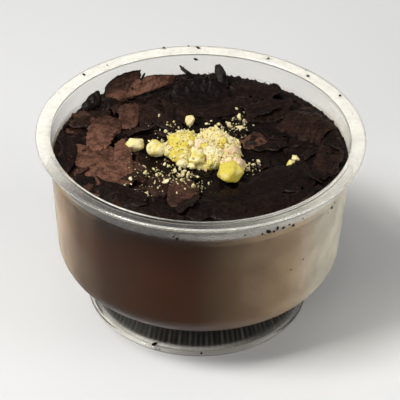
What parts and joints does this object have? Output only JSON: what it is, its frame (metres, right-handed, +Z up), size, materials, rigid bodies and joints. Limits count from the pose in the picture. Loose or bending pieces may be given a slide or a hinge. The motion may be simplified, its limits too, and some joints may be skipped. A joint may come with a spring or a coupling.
{
  "type": "chocolate custard dessert in a footed cup",
  "caption": "Set chocolate custard in a clear footed plastic dessert cup, topped with chocolate shavings and a small heap of chopped pistachios.",
  "frame": {"origin": "centre of the underside of the cup's foot, where it stands", "axes": "+Z up along the cup's axis, -Y to the front of the serving, +X to its right"},
  "size_m": [0.095, 0.095, 0.0568],
  "materials": {
    "clear_plastic": "clear, faintly milky moulded plastic with a smooth gloss, fine ribs on the foot",
    "custard": "smooth dark brown set custard",
    "dark_chocolate": "dark chocolate shavings, matte with a faint sheen, some of them browner",
    "pistachio": "chopped pistachio, matte yellow green with cream and pinkish faces"
  },
  "bodies": {
    "root": {"cup": "clear_plastic", "custard": "custard", "chocolate_shavings": "dark_chocolate", "chopped_pistachios": "pistachio"}
  },
  "joints": []
}
